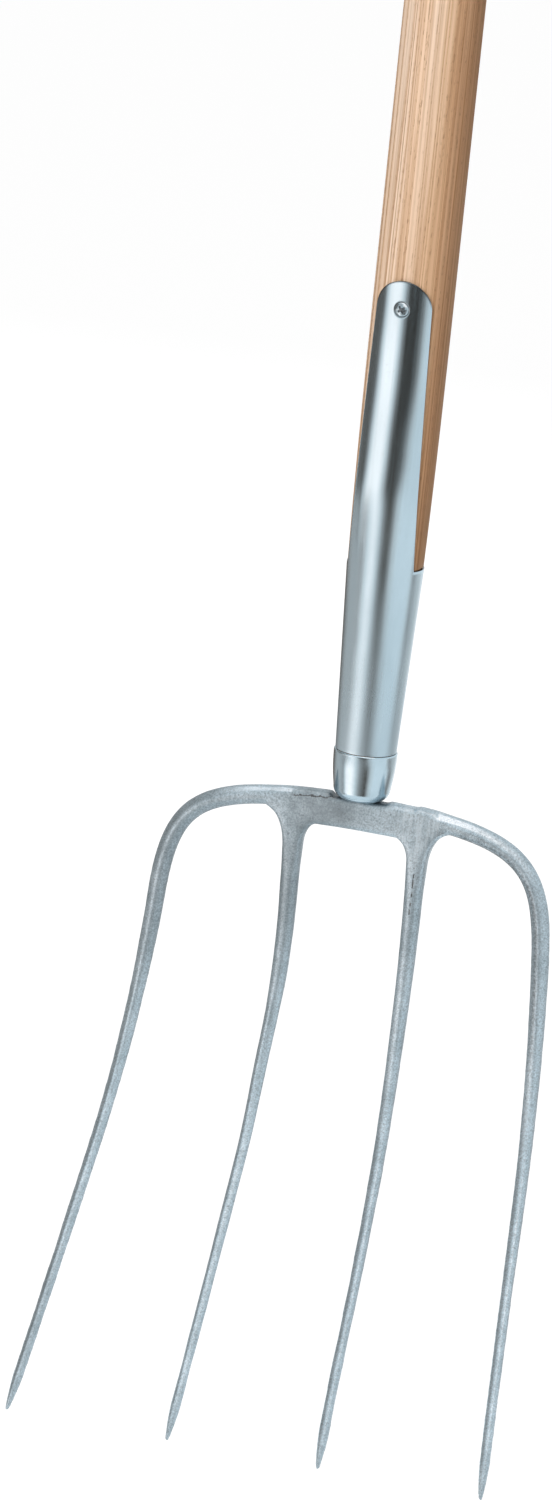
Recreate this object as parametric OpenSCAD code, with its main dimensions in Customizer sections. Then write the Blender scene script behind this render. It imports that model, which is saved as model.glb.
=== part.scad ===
// Manure fork: a forged head with four curved tines on a long ash handle.
// The tang of the head goes up through a drawn end cap into the nose of the handle. A rolled
// sheet socket grips the nose, and its one long strap is screwed to the front of the handle.
// Lengths are in millimetres. The handle runs along Z, the tines point down, and the strap
// and the hollow side of the tines face -Y. The origin is the grip, a point on the handle.

/* [Handle] */
// Diameter of the shaft
handle_d = 37; // [32:0.5:42]
// Length of the shaft, from its nose to its domed top
handle_length = 1350; // [700:10:1600]
// Height of the dome on the top end
handle_dome = 9; // [4:0.5:16]
// How much thinner the shaft is just above the socket
neck_reduction = 2.1; // [0.6:0.1:3]
// Height of the grip above the lower end of the socket
grip_height = 380; // [300:5:600]

/* [Socket] */
// Thickness of the rolled sheet
sheet_t = 1.2; // [0.8:0.1:2]
// Length of the cone, from its lower end to its rim
socket_length = 88; // [60:1:120]
// Outer diameter of the cone at its lower end
socket_end_d = 28.2; // [25:0.1:31]
// Depth of the shoulder in the wood at the rim
shoulder_depth = 0.9; // [0.4:0.1:1.2]
// Length of the strap above the rim
strap_length = 135; // [80:1:170]
// Width of the strap at its rounded top
strap_top_w = 26; // [18:0.5:30]
// Width of the strap at the rim
strap_root_w = 31.4; // [26:0.2:34]
// Width of the butt seam at the back
seam_gap = 0.6; // [0.2:0.1:2]

/* [Screw] */
// Diameter of the sunk hole at the face of the strap
dimple_d = 7.2; // [6:0.1:9]
// Diameter of the domed head
screw_head_d = 5.4; // [4.6:0.1:5.8]
// Height of the dome
screw_dome = 1.5; // [0.8:0.1:2.5]
// Diameter of the shank
screw_shank_d = 3.2; // [2.4:0.1:4]
// Length of the shank below the strap
screw_length = 16; // [10:0.5:18]
// Width of the cross recess
recess_w = 0.8; // [0.5:0.1:1.2]

/* [End cap] */
// Height of the cap
cap_height = 23.5; // [18:0.5:32]
// Thickness of the drawn wall
cap_wall = 1.2; // [0.8:0.1:1.6]
// How far the rim of the cap stands out beyond the socket
cap_lip = 0.6; // [0.2:0.1:1]
// How much the radius shrinks from the rim to the base
cap_taper = 2.7; // [1:0.1:4]
// Radius of the rounded lower edge
cap_corner = 4.5; // [2:0.1:6]
// Radius of the rolled rim
cap_rim_r = 0.6; // [0.2:0.1:0.8]
// How far the nose of the handle reaches into the cap
nose_depth = 14; // [8:0.5:15]

/* [Yoke] */
// Diameter of the bow at its crown
bar_d = 9.3; // [7:0.1:12]
// Diameter of the bow at its shoulders
shoulder_d = 8.6; // [7:0.1:11]
// Distance between the shoulders, centre to centre
shoulder_span = 185.2; // [150:1:240]
// Drop from the crown to the shoulders
shoulder_drop = 58.3; // [45:0.5:75]
// Height of the flat plate in the middle of the yoke
plate_h = 16.2; // [13:0.1:20]
// Thickness of the plate
plate_t = 8.8; // [7:0.1:11]
// Depth of the flat seat under the cap
seat_depth = 1.5; // [0.5:0.1:2.5]
// Length of the tang above the seat
tang_length = 115; // [80:1:140]
// Diameter of the tang at the seat
tang_d = 8.6; // [7:0.1:10]
// Diameter of the tang at its top
tang_tip_d = 4.4; // [3:0.1:6]

/* [Tines] */
// Length of each tine below the shoulders, along its curve
tine_length = 250.5; // [180:1:320]
// Distance between the inner tines at shoulder height, centre to centre
inner_span = 59.8; // [50:0.2:76]
// Width of the inner tines at the plate
inner_root_d = 9.5; // [8:0.1:12]
// Thickness of the tines just above their points
tine_tip_d = 5; // [4:0.1:6.5]
// Length of the points
point_length = 16; // [8:0.5:30]
// Thickness of the ends of the points
nose_d = 1.4; // [0.6:0.1:2.4]
// Radius of the bend in the tines
bend_r = 245; // [180:5:400]
// Forward lean of the tines below the bend, in degrees
lean = 28; // [10:1:35]
// Outward slope of the outer tines at the shoulders, in degrees
outer_splay = 4; // [0:0.1:6]
// Outward slope of the outer tines at their points, in degrees
outer_tip_splay = 5.7; // [0:0.1:8]
// Outward slope of the inner tines at the shoulders, in degrees
inner_splay = 1; // [0:0.1:2]
// Outward slope of the inner tines at their points, in degrees
inner_tip_splay = 1.9; // [0:0.1:4]
// Width of the fillet between each inner tine and the plate
fillet_in_w = 6.5; // [3:0.5:9]
// Height of the fillet between each inner tine and the plate
fillet_in_h = 11; // [6:0.5:16]
// Height of the fillet between each inner tine and the bow
fillet_out_h = 17; // [10:0.5:22]

/* [Hidden] */

// Clearance between pieces that fit together
fit = 0.1;
// How far cuts run past the faces they cut
overrun = 1;
// How far fused shapes run into each other
bite = 4;

ash = [0.76, 0.60, 0.42];
zinc_sheet = [0.72, 0.78, 0.82];
polished_steel = [0.80, 0.83, 0.86];
galvanised = [0.58, 0.62, 0.64];

// Round bodies and the steps of their curved outlines
round_fn = 96;
tang_fn = 32;
outline_steps = 8;
taper_steps = 12;

// Wood and sheet, measured from the lower end of the socket
handle_r = handle_d / 2;
neck_r = handle_r - neck_reduction / 2;
handle_top = handle_length - nose_depth;
rim_rise = shoulder_depth;
strap_top = socket_length + strap_length;
taper_top = strap_top + overrun;
taper_power = 3;
taper_spread = 2;
socket_end_r = socket_end_d / 2 - sheet_t;
socket_rim_r = neck_r - shoulder_depth + fit;

// Screw
screw_z = strap_top - strap_top_w / 2;
screw_hole_r = screw_shank_d / 2 + fit;
screw_head_r = screw_head_d / 2;
sink_slope = (dimple_d / 2 - screw_hole_r) / sheet_t;
screw_seat = (screw_head_r - screw_shank_d / 2) / sink_slope;
screw_point = screw_shank_d;
recess_share = 0.62;
recess_length = screw_head_d * recess_share;

// Cap
cap_rim_radius = socket_end_d / 2 + cap_lip;
cap_corner_top = cap_height - cap_corner;
tang_r = tang_d / 2;
tang_tip_r = tang_tip_d / 2;
tang_hole_r = tang_r + fit;

// Head, measured from the lower end of the socket
crown_z = seat_depth - cap_height - bar_d / 2;
shoulder_x = shoulder_span / 2;
shoulder_z = crown_z - shoulder_drop;
crown_pull_share = 0.853;
crown_pull = shoulder_x * crown_pull_share;
shoulder_pull_share = 0.8;
shoulder_pull = shoulder_drop * shoulder_pull_share;
bend_arc = bend_r * lean * PI / 180;
inner_x = inner_span / 2;
web_h = plate_h - bar_d;
web_z = crown_z + bar_d / 2 - plate_h;
seat_r = cap_radius(cap_corner_top) + cap_lip;

// Share of the way from crown to shoulder at which the outer fillets meet the bow
fillet_meet_share = 0.235;
bow_curve = [
    [0, 0, crown_z],
    [crown_pull, 0, crown_z],
    [shoulder_x - shoulder_pull * sin(outer_splay), 0, shoulder_z + shoulder_pull * cos(outer_splay)],
    [shoulder_x, 0, shoulder_z],
];
fillet_meet = bezier(bow_curve, fillet_meet_share);
fillet_out_z = fillet_meet.z - bar_d / 2;

// Roundness of the sections: 2 is an ellipse, more is squarer, less has a ridge
round_power = 2;
plate_power = 4.5;
ridge_power = 1.75;
section_sides = 16;
bow_steps = 20;
tine_steps = 20;
point_steps = 4;
fillet_steps = 7;
taper_power_tine = 2;
point_power = 0.6;

// Shares from 0 to 1 with soft ends
function soft(share) = let (t = min(max(share, 0), 1)) t * t * (3 - 2 * t);

function mix(a, b, share) = a + (b - a) * share;

function unit(v) = v / norm(v);

function signed_power(v, power) = sign(v) * pow(abs(v), power);

function bezier(p, t) =
    pow(1 - t, 3) * p[0] + 3 * t * pow(1 - t, 2) * p[1] + 3 * t * t * (1 - t) * p[2] + pow(t, 3) * p[3];

// Radius of the wood above the rim, which eases into the full shaft
function wood_radius(z) =
    let (share = min(max((taper_top - z) / (taper_top - socket_length), 0), 1))
    handle_r - neck_reduction / 2 * pow(share, taper_power);

// Outer radius of the cap at a depth below its rim
function cap_radius(depth) = cap_rim_radius - cap_taper * pow(depth / cap_height, 2);

// Inner radius of the cone, which the strap carries on above the rim
function cone_radius(z) = mix(socket_end_r, socket_rim_r, z / socket_length);

// Heights of the points on the tapered wood, from the shoulder to the full shaft, closest near the shoulder
function taper_heights() = [
    for (i = [0:taper_steps])
        mix(socket_length + rim_rise, taper_top, pow(i / taper_steps, taper_spread))
];

// Outline of the wood from the lower end of the socket to the full shaft
function wood_line() = concat(
    [[socket_end_r - fit, 0], [socket_rim_r - fit, socket_length]],
    [for (z = taper_heights()) [wood_radius(z), z]]
);

// Inner face of the sheet: the cone goes on until it comes out of the wood, then the strap lies on the wood
function bed_line(gap) = concat(
    [[socket_end_r + gap, 0]],
    [for (z = taper_heights()) [min(cone_radius(z), wood_radius(z) + fit) + gap, z]]
);

function reversed(list) = [for (i = [len(list) - 1:-1:0]) list[i]];

// Places everything relative to the grip
module at_socket() {
    translate([0, 0, -grip_height]) children();
}

// Stands on the face of the strap at the screw, with +Z out of the handle
module at_screw() {
    translate([0, -wood_radius(screw_z) - fit - sheet_t, screw_z]) rotate([90, 0, 0]) children();
}

module screw_shank(gap) {
    tip_z = -sheet_t - screw_length;
    translate([0, 0, tip_z])
        cylinder(h = screw_length + screw_seat, r = screw_shank_d / 2 + gap, $fn = round_fn);
    translate([0, 0, tip_z - screw_point])
        cylinder(h = screw_point, r1 = gap, r2 = screw_shank_d / 2 + gap, $fn = round_fn);
}

module tang(gap) {
    cylinder(h = tang_length + gap, r1 = tang_r + gap, r2 = tang_tip_r + gap, $fn = tang_fn);
}

// Turned shaft with its nose, shoulder and dome, bored for the tang and the screw
module handle() {
    nose_r = cap_radius(nose_depth) - cap_wall - fit;
    dome = [
        for (i = [0:outline_steps])
            let (a = 90 * i / outline_steps)
            [handle_r * cos(a), handle_top - handle_dome + handle_dome * sin(a)]
    ];
    outline = concat([[0, -nose_depth], [nose_r, -nose_depth]], wood_line(), dome);
    color(ash) at_socket() difference() {
        rotate_extrude($fn = round_fn) polygon(outline);
        strap_bed();
        translate([0, 0, -cap_height]) tang(fit);
        at_screw() screw_shank(fit);
    }
}

// The strap's outline, widened by a gap and carried through the front of the handle
module strap_prism(gap) {
    root = strap_root_w / 2 + gap;
    top = strap_top_w / 2 + gap;
    rotate([90, 0, 0]) linear_extrude(handle_d) {
        polygon([
            [-root, 0],
            [root, 0],
            [root, socket_length],
            [top, screw_z],
            [-top, screw_z],
            [-root, socket_length],
        ]);
        translate([0, screw_z]) circle(r = top, $fn = round_fn);
    }
}

// The shallow bed in the wood where the strap leaves the socket
module strap_bed() {
    intersection() {
        strap_prism(fit);
        difference() {
            translate([0, 0, socket_length])
                cylinder(h = taper_top - socket_length, r = handle_d, $fn = round_fn);
            cylinder(
                h = strap_top + handle_d,
                r1 = cone_radius(0) - fit,
                r2 = cone_radius(strap_top + handle_d) - fit,
                $fn = round_fn
            );
        }
    }
}

// Rolled sheet: a cone with a butt seam at the back and one long strap at the front
module strapped_socket() {
    wall = concat(bed_line(0), reversed(bed_line(sheet_t)));
    color(zinc_sheet) at_socket() difference() {
        intersection() {
            rotate_extrude($fn = round_fn) polygon(wall);
            union() {
                translate([0, 0, -overrun])
                    cylinder(h = socket_length + overrun, r = handle_d, $fn = round_fn);
                strap_prism(0);
            }
        }
        translate([-seam_gap / 2, 0, -overrun])
            cube([seam_gap, handle_d, socket_length + 2 * overrun]);
        at_screw() {
            translate([0, 0, -sheet_t - overrun])
                cylinder(h = sheet_t + 2 * overrun, r = screw_hole_r, $fn = round_fn);
            translate([0, 0, -sheet_t]) cylinder(
                h = sheet_t + overrun,
                r1 = screw_hole_r,
                r2 = screw_hole_r + sink_slope * (sheet_t + overrun),
                $fn = round_fn
            );
        }
    }
}

// Wood screw with a domed head, sunk in the strap, and a cross recess
module strap_screw() {
    head_z = screw_seat - sheet_t;
    dome = [
        for (i = [0:outline_steps])
            let (a = 90 * i / outline_steps)
            [screw_head_r * cos(a), head_z + screw_dome * sin(a)]
    ];
    color(polished_steel) at_socket() at_screw() difference() {
        union() {
            screw_shank(0);
            rotate_extrude($fn = round_fn)
                polygon(concat([[0, -sheet_t], [screw_shank_d / 2, -sheet_t]], dome));
        }
        for (turn = [0, 90])
            rotate([0, 0, turn])
                translate([-recess_length / 2, -recess_w / 2, head_z])
                    cube([recess_length, recess_w, screw_dome + overrun]);
    }
}

// Outline of the cap from its rim to its base, drawn in by a gap
function cap_line(gap) = concat(
    [
        for (i = [1:outline_steps])
            let (depth = mix(cap_rim_r, cap_corner_top, i / outline_steps))
            [cap_radius(depth) - gap, -depth]
    ],
    [
        for (i = [1:outline_steps])
            let (a = 90 * i / outline_steps, r = cap_corner - gap)
            [cap_radius(cap_corner_top) - cap_corner + r * cos(a), -cap_corner_top - r * sin(a)]
    ]
);

// Drawn thimble with a rolled rim, and a hole in its base for the tang
module end_cap() {
    rim = [
        for (i = [0:outline_steps])
            let (a = 90 - 90 * i / outline_steps)
            [cap_radius(cap_rim_r) - cap_rim_r * (1 - cos(a)), -cap_rim_r * (1 - sin(a))]
    ];
    outside = concat([[cap_rim_radius - cap_wall, 0]], rim, cap_line(0), [[tang_hole_r, -cap_height]]);
    inside = concat([[tang_hole_r, cap_wall - cap_height]], reversed(cap_line(cap_wall)));
    color(polished_steel) at_socket() rotate_extrude($fn = round_fn) polygon(concat(outside, inside));
}

// How far a point has gone forward and down, at a length below the shoulders
function bend(s) =
    let (a = min(max(s, 0), bend_arc) / bend_r * 180 / PI, rest = max(s - bend_arc, 0))
    [bend_r * (1 - cos(a)) + rest * sin(a), min(s, 0) + bend_r * sin(a) + rest * cos(a)];

// A point on a tine that spreads outwards, with a slope at the shoulders and another at its point
function tine_point(x, slope, tip_slope, s) =
    let (spread = tan(slope) * s + (tan(tip_slope) - tan(slope)) * pow(max(s, 0), 2) / (2 * tine_length))
    [x + spread, -bend(s)[0], shoulder_z - bend(s)[1]];

// Thickness of a tine that starts with a root thickness at a length, down to its point
function tine_d(root_d, root_s, s) =
    let (
        left = (tine_length - s) / (tine_length - root_s),
        u = min((tine_length - s) / point_length, 1),
        body = mix(tine_tip_d, root_d, pow(max(left, 0), taper_power_tine))
    )
    mix(nose_d, body, pow(u, point_power));

// Lengths along a tine at which it has a section, from the shoulders to its point
function tine_stations() = concat(
    [for (i = [1:tine_steps]) (tine_length - point_length) * i / tine_steps],
    [for (i = [1:point_steps]) tine_length - point_length * (1 - i / point_steps)]
);

// A section: its centre, half widths to the outside and the inside, half depth, and power
function section(at, out, in, deep, power) = [at, out, in, deep, power];

function bow_section(t) =
    let (
        at = bezier(bow_curve, t),
        flat_share = 1 - soft((at.x - inner_x) / (fillet_meet.x - inner_x)),
        r = mix(bar_d, shoulder_d, t) / 2
    )
    section(
        at,
        r,
        r + web_h * flat_share,
        mix(r, plate_t / 2, flat_share),
        mix(round_power, plate_power, flat_share)
    );

function outer_section(s) =
    let (
        at = tine_point(shoulder_x, outer_splay, outer_tip_splay, s),
        r = tine_d(shoulder_d, 0, s) / 2
    )
    section(at, r, r, r, mix(round_power, ridge_power, s / tine_length));

// Extra half width in a fillet, at a height below its upper end
function flare(width, height, below) =
    let (u = min(max(below / height, 0), 1))
    width * (1 - sqrt(1 - pow(1 - u, 2)));

function inner_section(s) =
    let (
        root_s = shoulder_z - web_z,
        at = tine_point(inner_x, inner_splay, inner_tip_splay, s),
        r = tine_d(inner_root_d, root_s, max(s, root_s)) / 2,
        reach = fillet_meet.x - inner_x - inner_root_d / 2,
        root_share = 1 - soft((s - root_s) / (fillet_in_h + fillet_out_h)),
        tine_share = max(s, 0) / tine_length
    )
    section(
        at,
        r + flare(reach, fillet_out_h, fillet_out_z - at.z),
        r + flare(fillet_in_w, fillet_in_h, web_z - at.z),
        mix(r, plate_t / 2 - fit, root_share),
        mix(mix(round_power, ridge_power, tine_share), plate_power, root_share)
    );

// The rim of a section, square to the way the bar runs
function section_rim(sec, way) =
    let (side = unit(cross(way, [0, 1, 0])), front = cross(way, side))
    [
        for (k = [0:section_sides - 1])
            let (
                a = 360 * k / section_sides,
                half = cos(a) > 0 ? sec[1] : sec[2],
                across = half * signed_power(cos(a), 2 / sec[4]),
                deep = sec[3] * signed_power(sin(a), 2 / sec[4])
            )
            sec[0] + side * across + front * deep
    ];

// A bar lofted through sections
module loft(sections) {
    last = len(sections) - 1;
    n = section_sides;
    rims = [
        for (i = [0:last])
            section_rim(sections[i], unit(sections[min(i + 1, last)][0] - sections[max(i - 1, 0)][0]))
    ];
    sides = [
        for (i = [0:last - 1], k = [0:n - 1])
            let (a = i * n + k, b = i * n + (k + 1) % n)
            each [[a, a + n, b], [b, a + n, b + n]]
    ];
    ends = [[for (k = [0:n - 1]) k], [for (k = [n - 1:-1:0]) last * n + k]];
    polyhedron(points = [for (rim = rims) each rim], faces = concat(sides, ends));
}

function mirrored(sec) = [[-sec[0].x, sec[0].y, sec[0].z], sec[1], sec[2], sec[3], sec[4]];

// The bow and the two outer tines, forged from one bar
module bow() {
    half = concat(
        [for (i = [0:bow_steps]) bow_section(i / bow_steps)],
        [for (s = tine_stations()) outer_section(s)]
    );
    other = [for (i = [len(half) - 1:-1:1]) mirrored(half[i])];
    loft(concat(other, half));
}

// One inner tine with its filleted root
module inner_tine() {
    root_s = shoulder_z - web_z;
    top_s = shoulder_z - crown_z;
    fillet_s = shoulder_z - fillet_out_z;
    stations = concat(
        [top_s],
        [for (i = [0:fillet_steps]) fillet_s + fillet_out_h * (1 - cos(90 * i / fillet_steps))],
        [for (i = [1:fillet_steps]) mix(fillet_s + fillet_out_h, 0, i / fillet_steps)],
        tine_stations()
    );
    loft([for (s = stations) inner_section(s)]);
}

// One forging: tang, yoke plate, bow and four tines
module fork_head() {
    color(galvanised) at_socket() {
        difference() {
            union() {
                bow();
                inner_tine();
                mirror([1, 0, 0]) inner_tine();
            }
            translate([0, 0, -cap_height]) cylinder(h = seat_depth + overrun, r = seat_r, $fn = tang_fn);
        }
        translate([0, 0, -cap_height]) tang(0);
        translate([0, 0, -cap_height - bite]) cylinder(h = bite, r = tang_tip_r, $fn = tang_fn);
    }
}

handle();
strapped_socket();
strap_screw();
end_cap();
fork_head();
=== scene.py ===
"""Looks for the manure fork: shapes, materials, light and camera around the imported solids.

Shapes are worked out in millimetres above the lower end of the socket, as in the solids,
and mesh_object() puts them into the row frame in metres.
"""

import math
from functools import cache, partial, reduce

import bmesh
import bpy
import numpy as np
from mathutils import Matrix, Vector, noise


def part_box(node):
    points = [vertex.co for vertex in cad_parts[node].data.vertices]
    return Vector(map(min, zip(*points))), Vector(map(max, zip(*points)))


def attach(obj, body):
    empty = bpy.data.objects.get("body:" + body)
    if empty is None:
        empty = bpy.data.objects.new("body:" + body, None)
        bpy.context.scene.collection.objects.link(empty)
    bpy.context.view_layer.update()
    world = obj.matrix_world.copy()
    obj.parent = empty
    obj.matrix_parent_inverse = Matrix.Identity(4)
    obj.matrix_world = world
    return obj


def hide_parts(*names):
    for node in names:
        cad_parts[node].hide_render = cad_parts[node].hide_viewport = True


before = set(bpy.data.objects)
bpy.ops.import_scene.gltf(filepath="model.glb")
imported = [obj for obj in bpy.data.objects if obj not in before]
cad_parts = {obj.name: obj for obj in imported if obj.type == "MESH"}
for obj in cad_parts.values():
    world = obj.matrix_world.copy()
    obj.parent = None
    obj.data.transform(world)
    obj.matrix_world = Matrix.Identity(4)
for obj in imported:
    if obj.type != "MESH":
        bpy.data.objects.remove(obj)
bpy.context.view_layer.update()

MM = 0.001

# Sizes read from the solids
socket_low, socket_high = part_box("strapped_socket")
cap_low, cap_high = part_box("end_cap")
handle_low, handle_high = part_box("handle")
head_low, head_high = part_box("fork_head")
SEAM_Z = socket_low.z
FLOOR_Z = head_low.z
HANDLE_R = handle_high.y / MM
HANDLE_TOP = (handle_high.z - SEAM_Z) / MM
NOSE_DEPTH = (SEAM_Z - handle_low.z) / MM
STRAP_TOP = (socket_high.z - SEAM_Z) / MM
CAP_HEIGHT = (SEAM_Z - cap_low.z) / MM
CAP_RIM_R = cap_high.x / MM
TANG_TOP = (head_high.z - SEAM_Z) / MM

# Handle and socket
FIT = 0.1
HANDLE_DOME = 9
NECK_REDUCTION = 2.1
SHEET_T = 1.2
SOCKET_LENGTH = 88
SOCKET_END_R = 14.1
SHOULDER_DEPTH = 0.9
STRAP_TOP_W = 26
STRAP_ROOT_W = 31.4
STRAP_CORNER = math.radians(40)
SEAM_GAP = 0.6
SEAM_RISE = 0.25
SHEET_EDGE_R = 0.4
SHEET_EDGE_ANGLE = math.radians(50)
# Painted shade along the strap's round top: its width, and how far above the screw it fades in
RIM_BAND = 0.9
RIM_FADE = 6
NECK_R = HANDLE_R - NECK_REDUCTION / 2
SOCKET_RIM_R = NECK_R - SHOULDER_DEPTH + FIT + SHEET_T
TAPER_TOP = STRAP_TOP + 1
CONE_BLEND = 0.12
WAVE_FREQUENCY = 0.028
WAVE_HEIGHT = 0.13
WAVE_FADE = 20
ROUND_SEGMENTS = 144

# Screw
SCREW_Z = STRAP_TOP - STRAP_TOP_W / 2
DIMPLE_R = 3.6
SCREW_HEAD_R = 3.4
SCREW_DOME = 1.6
SCREW_SHANK_R = 1.6
SCREW_TIP_R = 0.05
SCREW_LENGTH = 16
SCREW_SUNK = 0.6
# Width of the painted shade round the screw head
SCREW_RING = 0.7
SCREW_SEGMENTS = 160
RECESS_W = 0.9
RECESS_REACH = 1.8
RECESS_DEPTH = 0.8
RECESS_SIDE_SLOPE = 0.15
RECESS_END_SLOPE = 0.3
RECESS_TURN = math.radians(35)

# Cap
CAP_WALL = 1.2
CAP_TAPER = 2.7
CAP_CORNER = 6
CAP_ROLL_R = 0.6

# Head
TANG_R = 4.3
TANG_TIP_R = 2.2
TANG_SEGMENTS = 48
BAR_D = 9.3
BAR_SIDES = 40
SHOULDER_D = 8.6
SHOULDER_X = 92.6
SHOULDER_DROP = 58.3
PLATE_H = 16.2
PLATE_T = 8.8
SEAT_DEPTH = 1.5
SEAT_R = 13.5
SIDE_FLAT_END = 27.5
SIDE_FLAT_DEPTH = 0.6
TINE_LENGTH = 250.5
INNER_X = 29.9
INNER_ROOT_D = 9.5
TINE_TIP_D = 5
POINT_LENGTH = 16
POINT_ROUNDING = 0.6
POINT_STEPS = 24
POINT_CROWDING = 1.5
NOSE_D = 1.4
BEND_R = 245
LEAN = math.radians(28)
OUTER_SLOPES = (math.radians(4), math.radians(5.7))
INNER_SLOPES = (math.radians(1), math.radians(1.9))
FILLET_IN_W = 6.5
FILLET_IN_H = 11
FILLET_OUT_H = 17
FILLET_MEET = 0.235
CROWN_PULL = 0.853
SHOULDER_PULL = 0.8
CROWN_Z = SEAT_DEPTH - CAP_HEIGHT - BAR_D / 2
SHOULDER_Z = CROWN_Z - SHOULDER_DROP
WEB_Z = CROWN_Z + BAR_D / 2 - PLATE_H
VOXEL = 0.65

# Section powers: 2 is round, more is squarer and less has ridges
ROUND, PLATE_POWER, BOW_POWER, RIDGE_POWER = 2.0, 4.5, 1.6, 1.45
BOW_RIDGE_START, BOW_RIDGE_END = 0.25, 0.45
RIDGE_LENGTH = 60
RIGHT_TURN = math.radians(22)
LEFT_TURN = math.radians(18)

# Sideways wander of an inner tine: height, wavelength, start and end along the tine
RIGHT_WANDER = (-0.5, 200, 0, 260)
LEFT_WANDER = (-0.8, 150, -16, 110)

# Filed edges: x at the start and end, width at both, depth below the bow's top, fade at both
CHAMFER_TILT = math.radians(42)
CHAMFERS = (
    (SEAT_R, SIDE_FLAT_END, 2.4, 2.4, SIDE_FLAT_DEPTH, 1, 1),
    (-62, -31, 4.4, 2.9, 0, 16, 1),
    (37.5, 66, 4.2, 4.2, 0, 1, 20),
)

# Unevenness of the forging: frequency and height
FORGE_WAVES = ((0.055, 0.16), (0.3, 0.035))

# Colours
WHITE = (1, 1, 1)
LATE_WOOD = (0.9, 0.715, 0.57)
EARLY_WOOD = (0.53, 0.295, 0.145)
WOOD_FIBRES = ((0.73, 0.65, 0.57), WHITE)
WOOD_TONES = ((0.93, 0.85, 0.76), WHITE)
HEARTWOOD_AND_SHADE = (WHITE, (0.98, 0.92, 0.83), (0.75, 0.56, 0.4))
PORES = (0.3, 0.165, 0.085)
PLATING = ((0.435, 0.57, 0.65), (0.485, 0.63, 0.715))
PLATING_SPECKS = (0.34, 0.40, 0.43)
DARK_EDGES_AND_RIM_SHADE = (0.11, 0.12, 0.12)
SCREW_TONES = ((0.28, 0.35, 0.39), (0.45, 0.57, 0.64))
RECESS_SHADE = (0.07, 0.075, 0.08)
ZINC = ((0.40, 0.505, 0.565), (0.483, 0.60, 0.672), (0.558, 0.68, 0.752))
DULL_ZINC_AND_SHADE = (0.2, 0.245, 0.27)
FILED_ZINC_AND_HIGHLIGHT = (0.62, 0.75, 0.84)
GROUND_ZINC = (0.6, 0.7, 0.76)
SCALE_AND_SHADE = (0.10, 0.11, 0.115)

# Camera, from the photograph's own geometry
PHOTO_H = 1500
CAMERA_AZIMUTH = math.radians(15.08)
CAMERA_ELEVATION = math.radians(14.10)
CAMERA_ROLL = math.radians(5.91)
CAMERA_DISTANCE = 4200
CAMERA_AIM = (-41.27, -0.229)
PIXELS_PER_MM = 2.179
SENSOR = 36

# Lamps, world and floor, in metres; azimuths are degrees to the right of the camera
LAMP_AIM = Vector((0, 0, SEAM_Z + 100 * MM))
LAMP_DISTANCE = 2.0
LAMP_SIZE = 1.5
LAMP_ELEVATION = 25
KEY_AZIMUTH, KEY_RADIANCE = -20, 4.0
FILL_AZIMUTH, FILL_RADIANCE = 170, 2.2
AMBIENT_LEFT, AMBIENT_RIGHT = 0.52, 0.06
FLOOR_REACH = 40
FLOOR_COLOUR = (0.9, 0.9, 0.9, 1)
FLOOR_GLOW_SHARE = 0.75
FLOOR_GLOW = 1.22

# Cards: distances from the axis, heights above the floor, and tints by half their level
CARD_STEPS = 12
CARD_NEAR = 0.3
RING = 0.97
OUTER_RING = 1.2
WALL_FOOT = 1.54
WALL = 1.55
HIGH_CARD = 1.3
OVER_NEAR = 0.2
CARD_LIFT = 0.0005
FOOT_TOP = 0.04
WALL_MIDDLE = 0.18
WALL_TOP = 0.36
HIGH_START = 1.0
DARK_TOP = 1.7
OVER_H = 2.45
CARD_TINTS = (
    (0.03, (1.22, 0.94, 0.76)),
    (0.12, (1.09, 0.975, 0.91)),
    (0.5, (1.03, 1.0, 0.98)),
    (0.8, (1.17, 0.99, 0.92)),
)

# Stops of flat cards: azimuth and level, or azimuth and the levels at the near and far edges
NEAR_LEFT = [(-176, 0.3), (-150, 0.25), (-126, 0.58), (-108, 0.68), (-90, 0.55)]
NEAR_FRONT = [(-82, 0.5), (-76, 1.0), (-70, 1.6), (-58, 1.75), (-46, 1.65), (-36, 1.3)]
NEAR_FRONT += [(-26, 0.85), (-14, 0.42), (-4, 0.26), (11, 0.08), (18, 0.42), (28, 0.92), (38, 1.0)]
NEAR_RIGHT = [(96, 0.95), (108, 0.4), (118, 0.35), (130, 0.8), (145, 1)]
FAR_LEFT = [(-176, 0.2), (-150, 0.15), (-134, 0.42), (-120, 0.6), (-106, 0.64, 0.62)]
FAR_LEFT += [(-92, 0.56, 0.53), (-80, 0.41, 0.38)]
FAR_FRONT = [(-70, 0.56, 0.6), (-60, 0.9, 1.1), (-50, 1.07, 1.42), (-42, 1.08, 1.48)]
FAR_FRONT += [(-32, 0.95, 1.2), (-22, 0.8, 0.55), (-13, 0.7, 0.18), (-1, 0.56, 0.1)]
FAR_FRONT += [(7, 0.66, 0.4), (15, 0.9), (26, 1.0)]
FAR_RIGHT = [(84, 0.9), (92, 0.6), (98, 0.33), (106, 0.5), (120, 0.72), (136, 0.75), (150, 1)]
BACK = [(-190, 0.5), (-176, 0.25, 0.2)]
OVER_LIGHT = [(-110, 1.9), (40, 1.9)]

# Stops of standing cards: azimuth and level, or the azimuths below and above, and level
STRAP_WALL = [(-132, -122, 0.2), (-112, -104, 0.13), (-106, -82, 0.12), (-97, -72, 1.0)]
STRAP_WALL += [(-86, -61, 1.65), (-50, -37, 1.65), (-41, -26, 1.05), (-33, -18, 0.35)]
STRAP_WALL += [(-24, -12, 0.05), (-4, 22, 0.03), (3, 32, 0.35), (10, 42, 0.95), (17, 48, 1.0)]
FOOT = [(-150, 0.4), (-122, -120, 0.62), (-106, -104, 0.5), (-99, -97, 0.15)]
DARK_LEFT = [(-165, 0.5), (-120, 0.42), (-84, 0.24), (-62, 0.3)]
DARK_BACK = [(-190, 0.3), (-165, 0.15), (-132, 0.2)]
HIGH_LIGHT = [(-12, 1.8), (42, 1.8)]


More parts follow.
